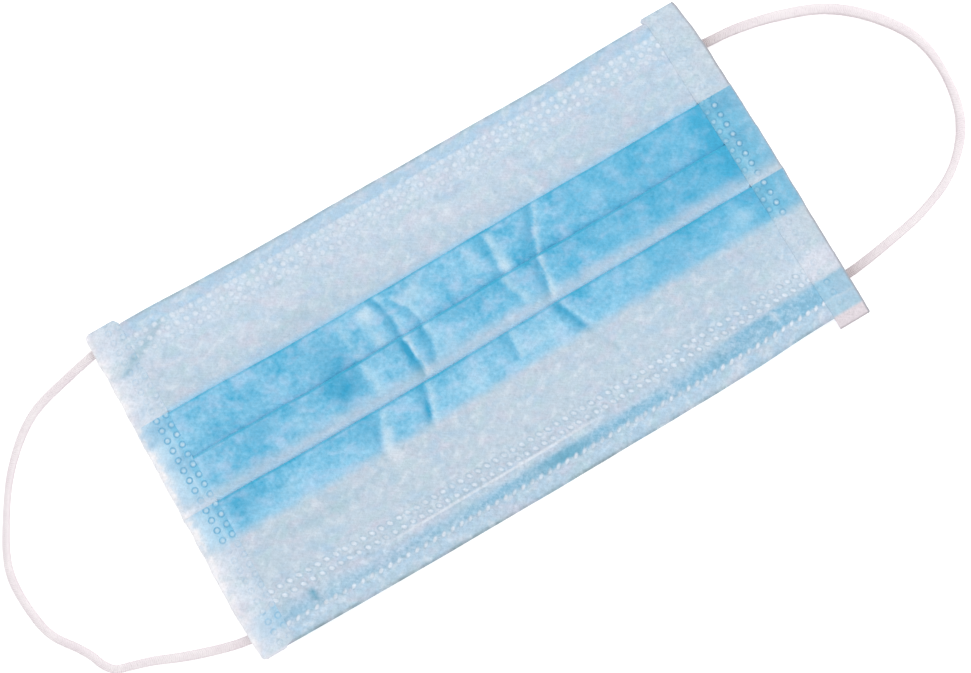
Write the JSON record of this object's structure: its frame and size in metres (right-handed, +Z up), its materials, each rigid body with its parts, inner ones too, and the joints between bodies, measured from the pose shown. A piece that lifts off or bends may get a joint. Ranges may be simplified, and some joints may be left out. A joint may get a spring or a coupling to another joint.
{
  "type": "surgical face mask",
  "caption": "Pleated face mask lying flat, folded nonwoven sheet with bound side edges, nose wire pocket and a round elastic ear loop at each side",
  "frame": {"origin": "middle of the mask without its ear loops, on the surface that it lies on", "axes": "+X along the long edges to the right of the picture, +Y from the nose edge to the chin edge, +Z up out of the blue face"},
  "size_m": [0.2706, 0.095, 0.0119],
  "materials": {
    "blue_nonwoven": "matte spunbond, pale where single and sky blue where plies lie on each other",
    "wire_plastic": "smooth white covered wire, hidden in the nose hem",
    "white_nonwoven": "thin matte spunbond, slightly see-through, with small round welds",
    "elastic": "fine knitted round elastic, matte off-white"
  },
  "bodies": {
    "root": {"pleated_body": "blue_nonwoven", "nose_wire": "wire_plastic", "binding_left": "white_nonwoven", "binding_right": "white_nonwoven", "ear_loop_left": "elastic", "ear_loop_right": "elastic"}
  },
  "joints": []
}
